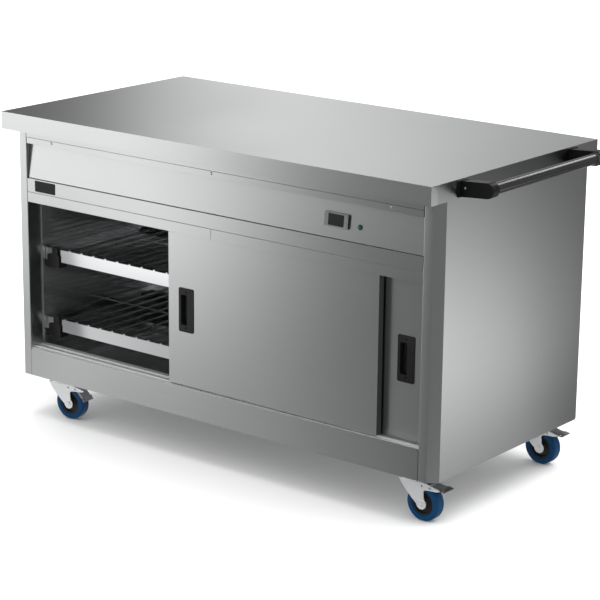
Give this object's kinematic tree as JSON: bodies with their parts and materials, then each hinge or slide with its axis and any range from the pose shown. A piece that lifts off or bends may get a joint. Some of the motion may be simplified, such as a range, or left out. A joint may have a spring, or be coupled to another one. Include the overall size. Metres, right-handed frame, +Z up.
{
  "type": "hostess trolley",
  "caption": "Heated steel serving cupboard on braked swivel castors, with by-passing sliding doors, wire shelves, a sloping control fascia and a push handle at one end.",
  "frame": {"origin": "on the floor, under the centre of the whole part's bounding box (the push handle counts, so this is 49.8 mm to the right of the worktop's middle)", "axes": "+X to the push handle end, -Y to the sliding doors and controls, +Z up"},
  "size_m": [1.6004, 0.785, 0.92],
  "materials": {
    "steel_brushed": "brushed stainless, grain along the panel",
    "steel_back": "plain mill finish",
    "steel_liner": "bright annealed, reflective",
    "steel_track": "worn bright on the ridges",
    "plate_black": "gloss, blank",
    "case_silver": "satin silver",
    "display_window": "smoked window",
    "lamp_green": "translucent lens",
    "key_silver": "satin",
    "steel_screw": "turned",
    "clip_black": "moulded",
    "element_sheath": "heat-darkened sheath",
    "motor_grey": "satin",
    "impeller_alu": "plain",
    "handle_black": "moulded satin",
    "handle_gloss": "black gloss coating",
    "zinc_steel": "bright zinc plating",
    "pedal_zinc": "zinc plating, ribbed",
    "gland_black": "moulded",
    "pull_black": "moulded",
    "roller_nylon": "natural nylon",
    "shelf_chrome": "bright plated",
    "hub_black": "moulded nylon",
    "tyre_blue": "elastic, satin"
  },
  "bodies": {
    "cabinet": {"worktop": "steel_brushed", "top_rail": "steel_brushed", "side_panel_left": "steel_brushed", "side_panel_right": "steel_brushed", "back_panel": "steel_back", "base_pan": "steel_back", "front_plinth": "steel_brushed", "door_header": "steel_brushed", "track_cover": "steel_brushed", "top_track": "steel_track", "bottom_track": "steel_track", "control_fascia": "steel_brushed", "badge_plate": "plate_black", "controller_case": "case_silver", "display_lens": "display_window", "indicator_lamp": "lamp_green", "fixing_screws": "steel_screw", "liner_left": "steel_liner", "liner_right": "steel_liner", "liner_back": "steel_liner", "liner_ceiling": "steel_liner", "liner_floor": "steel_liner", "shelf_clips": "clip_black", "heater_cover": "steel_liner", "heating_element": "element_sheath", "fan_motor": "motor_grey", "handle_brackets": "handle_black", "handle_tube": "handle_gloss", "castor_plates": "zinc_steel", "castor_bolts": "zinc_steel", "cable_gland": "gland_black"},
    "fan": {"fan_impeller": "impeller_alu"},
    "key_up": {"key_up": "key_silver"},
    "key_down": {"key_down": "key_silver"},
    "door_left": {"door_left_panel": "steel_brushed", "door_left_pull": "pull_black"},
    "door_right": {"door_right_panel": "steel_brushed", "door_right_pull": "pull_black"},
    "shelf_upper": {"shelf_upper": "shelf_chrome"},
    "shelf_lower": {"shelf_lower": "shelf_chrome"},
    "roller_left_a": {"door_left_roller_a": "roller_nylon"},
    "roller_left_b": {"door_left_roller_b": "roller_nylon"},
    "roller_right_a": {"door_right_roller_a": "roller_nylon"},
    "roller_right_b": {"door_right_roller_b": "roller_nylon"},
    "swivel_fr": {"fork_fr": "zinc_steel"},
    "wheel_fr": {"wheel_fr": "hub_black", "tyre_fr": "tyre_blue"},
    "pedal_fr": {"pedal_fr": "pedal_zinc"},
    "swivel_rr": {"fork_rr": "zinc_steel"},
    "wheel_rr": {"wheel_rr": "hub_black", "tyre_rr": "tyre_blue"},
    "pedal_rr": {"pedal_rr": "pedal_zinc"},
    "swivel_fl": {"fork_fl": "zinc_steel"},
    "wheel_fl": {"wheel_fl": "hub_black", "tyre_fl": "tyre_blue"},
    "pedal_fl": {"pedal_fl": "pedal_zinc"},
    "swivel_rl": {"fork_rl": "zinc_steel"},
    "wheel_rl": {"wheel_rl": "hub_black", "tyre_rl": "tyre_blue"},
    "pedal_rl": {"pedal_rl": "pedal_zinc"}
  },
  "joints": [
    {"name": "door_left_slide", "type": "slide", "parent": "cabinet", "child": "door_left", "axis": [1, 0, 0], "range_m": [-0.537, 0.137]},
    {"name": "door_right_slide", "type": "slide", "parent": "cabinet", "child": "door_right", "axis": [1, 0, 0], "range_m": [-0.675, 0]},
    {"name": "roller_left_a_spin", "type": "hinge", "parent": "door_left", "child": "roller_left_a", "pos_m": [-0.1498, -0.33, 0.2293], "axis": [0, 1, 0], "range_deg": [-3100, 800]},
    {"name": "roller_left_b_spin", "type": "hinge", "parent": "door_left", "child": "roller_left_b", "pos_m": [0.4502, -0.33, 0.2293], "axis": [0, 1, 0], "range_deg": [-3100, 800]},
    {"name": "roller_right_a_spin", "type": "hinge", "parent": "door_right", "child": "roller_right_a", "pos_m": [-0.0118, -0.305, 0.2293], "axis": [0, 1, 0], "range_deg": [-3900, 10]},
    {"name": "roller_right_b_spin", "type": "hinge", "parent": "door_right", "child": "roller_right_b", "pos_m": [0.5882, -0.305, 0.2293], "axis": [0, 1, 0], "range_deg": [-3900, 10]},
    {"name": "fan_spin", "type": "hinge", "parent": "cabinet", "child": "fan", "pos_m": [-0.0498, 0.25, 0.46], "axis": [0, 1, 0], "continuous": true},
    {"name": "key_up_press", "type": "slide", "parent": "cabinet", "child": "key_up", "axis": [0, 0.9953, -0.0971], "range_m": [0, 0.0008], "stiffness_N_per_m": 300, "springref_m": -0.0003},
    {"name": "key_down_press", "type": "slide", "parent": "cabinet", "child": "key_down", "axis": [0, 0.9953, -0.0971], "range_m": [0, 0.0008], "stiffness_N_per_m": 300, "springref_m": -0.0003},
    {"name": "shelf_upper_lift", "type": "slide", "parent": "cabinet", "child": "shelf_upper", "axis": [0, 0, 1], "range_m": [0, 0.03]},
    {"name": "shelf_lower_lift", "type": "slide", "parent": "cabinet", "child": "shelf_lower", "axis": [0, 0, 1], "range_m": [0, 0.03]},
    {"name": "castor_fr_swivel", "type": "hinge", "parent": "cabinet", "child": "swivel_fr", "pos_m": [0.5902, -0.28, 0.11], "axis": [0, 0, 1], "continuous": true},
    {"name": "castor_fr_wheel", "type": "hinge", "parent": "swivel_fr", "child": "wheel_fr", "pos_m": [0.6302, -0.28, 0.05], "axis": [0, 1, 0], "continuous": true},
    {"name": "castor_fr_brake", "type": "hinge", "parent": "swivel_fr", "child": "pedal_fr", "pos_m": [0.6562, -0.28, 0.0975], "axis": [0, 1, 0], "range_deg": [-2, 44]},
    {"name": "castor_rr_swivel", "type": "hinge", "parent": "cabinet", "child": "swivel_rr", "pos_m": [0.5902, 0.29, 0.11], "axis": [0, 0, 1], "continuous": true},
    {"name": "castor_rr_wheel", "type": "hinge", "parent": "swivel_rr", "child": "wheel_rr", "pos_m": [0.6302, 0.29, 0.05], "axis": [0, 1, 0], "continuous": true},
    {"name": "castor_rr_brake", "type": "hinge", "parent": "swivel_rr", "child": "pedal_rr", "pos_m": [0.6562, 0.29, 0.0975], "axis": [0, 1, 0], "range_deg": [-2, 44]},
    {"name": "castor_fl_swivel", "type": "hinge", "parent": "cabinet", "child": "swivel_fl", "pos_m": [-0.6898, -0.28, 0.11], "axis": [0, 0, 1], "continuous": true},
    {"name": "castor_fl_wheel", "type": "hinge", "parent": "swivel_fl", "child": "wheel_fl", "pos_m": [-0.64995, -0.27651, 0.05], "axis": [-0.0872, 0.9962, 0], "continuous": true},
    {"name": "castor_fl_brake", "type": "hinge", "parent": "swivel_fl", "child": "pedal_fl", "pos_m": [-0.62405, -0.27425, 0.0975], "axis": [-0.0872, 0.9962, 0], "range_deg": [-46, 1]},
    {"name": "castor_rl_swivel", "type": "hinge", "parent": "cabinet", "child": "swivel_rl", "pos_m": [-0.6898, 0.29, 0.11], "axis": [0, 0, 1], "continuous": true},
    {"name": "castor_rl_wheel", "type": "hinge", "parent": "swivel_rl", "child": "wheel_rl", "pos_m": [-0.6498, 0.29, 0.05], "axis": [0, 1, 0], "continuous": true},
    {"name": "castor_rl_brake", "type": "hinge", "parent": "swivel_rl", "child": "pedal_rl", "pos_m": [-0.6238, 0.29, 0.0975], "axis": [0, 1, 0], "range_deg": [-2, 44]}
  ],
  "couplings": [
    {"joint": "roller_left_a_spin", "follows": "door_left_slide", "rad_per_m": 100},
    {"joint": "roller_left_b_spin", "follows": "door_left_slide", "rad_per_m": 100},
    {"joint": "roller_right_a_spin", "follows": "door_right_slide", "rad_per_m": 100},
    {"joint": "roller_right_b_spin", "follows": "door_right_slide", "rad_per_m": 100}
  ]
}
